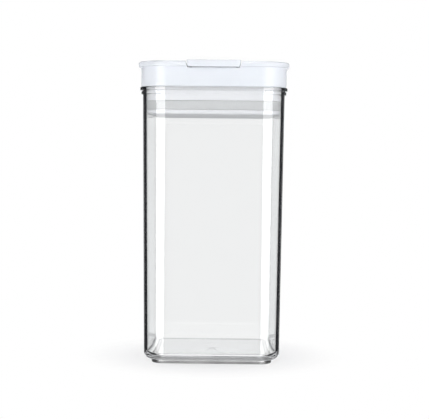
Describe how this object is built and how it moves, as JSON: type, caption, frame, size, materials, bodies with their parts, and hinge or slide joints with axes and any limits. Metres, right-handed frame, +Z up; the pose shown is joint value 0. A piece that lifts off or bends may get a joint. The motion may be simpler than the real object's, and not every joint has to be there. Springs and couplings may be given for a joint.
{
  "type": "storage container",
  "caption": "Tall square clear canister with rounded corners and a white lid; a flip lever on the lid draws up a plate that squeezes a grey ring to seal the mouth.",
  "frame": {"origin": "middle of the underside of the foot ring", "axes": "+Z up, -Y to the front, where the free end of the lever shows in the lip"},
  "size_m": [0.104, 0.104, 0.2085],
  "materials": {
    "clear_plastic": "clear, polished, injection moulded",
    "white_plastic": "white with a cool tint, glossy, injection moulded",
    "grey_silicone": "light grey silicone, satin",
    "acetal": "natural acetal, satin",
    "stainless_steel": "bright drawn stainless steel"
  },
  "bodies": {
    "canister": {"canister_body": "clear_plastic"},
    "lid": {"lid_cap": "white_plastic", "lid_plug": "white_plastic", "lid_screws": "stainless_steel", "cam_plate": "acetal", "seal_ring": "grey_silicone", "return_spring": "stainless_steel"},
    "plate": {"pressure_plate": "white_plastic", "draw_stem": "acetal", "lever_pin": "stainless_steel"},
    "lever": {"flip_lever": "white_plastic"}
  },
  "joints": [
    {"name": "lid_lift", "type": "slide", "parent": "canister", "child": "lid", "axis": [0, 0, 1], "range_m": [0, 0.12]},
    {"name": "plate_drop", "type": "slide", "parent": "lid", "child": "plate", "axis": [0, 0, -1], "range_m": [0, 0.003], "deforming": ["seal_ring", "return_spring"]},
    {"name": "lever_flip", "type": "hinge", "parent": "plate", "child": "lever", "pos_m": [0, 0, 0.2036], "axis": [-1, 0, 0], "range_deg": [0, 90]}
  ],
  "couplings": [
    {"joint": "plate_drop", "follows": "lever_flip", "m_per_rad": 0.0019099}
  ]
}
